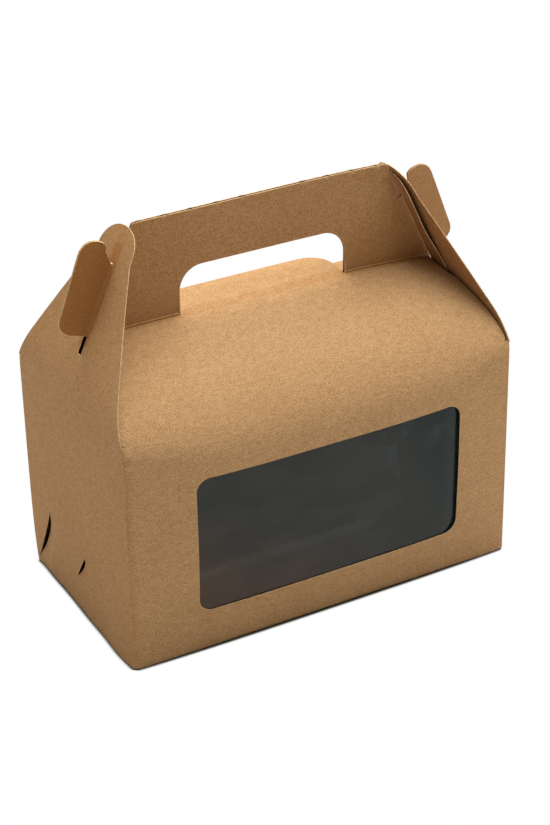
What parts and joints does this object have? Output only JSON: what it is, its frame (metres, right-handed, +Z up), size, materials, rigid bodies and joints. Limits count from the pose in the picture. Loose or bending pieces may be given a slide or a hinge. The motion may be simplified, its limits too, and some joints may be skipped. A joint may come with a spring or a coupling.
{
  "type": "gable carton with a window",
  "caption": "Gable carton of folded kraft card for cakes, with a carry handle locked by its ears through two end flaps, and a clear film window.",
  "frame": {"origin": "middle of the base, on the surface that the carton stands on", "axes": "+X along the length to the right seen from the window side, +Y from the window wall to the back wall, +Z up"},
  "size_m": [0.2346, 0.142, 0.2185],
  "materials": {
    "kraft_card": "matt uncoated brown kraft card with fine fibres and light cut edges",
    "clear_film": "thin clear glossy film with faint ripples"
  },
  "bodies": {
    "carton": {"carton": "kraft_card", "window_film": "clear_film", "left_ear_front": "kraft_card", "left_ear_back": "kraft_card", "right_ear_front": "kraft_card", "right_ear_back": "kraft_card"},
    "left_end_flap": {"left_end_flap": "kraft_card"},
    "right_end_flap": {"right_end_flap": "kraft_card"}
  },
  "joints": [
    {"name": "left_flap_crease", "type": "hinge", "parent": "carton", "child": "left_end_flap", "pos_m": [-0.115, 0, 0.1296], "axis": [0, -1, 0], "range_deg": [0, 120], "deforming": ["left_ear_front", "left_ear_back"]},
    {"name": "right_flap_crease", "type": "hinge", "parent": "carton", "child": "right_end_flap", "pos_m": [0.115, 0, 0.1296], "axis": [0, 1, 0], "range_deg": [0, 120], "deforming": ["right_ear_front", "right_ear_back"]}
  ]
}
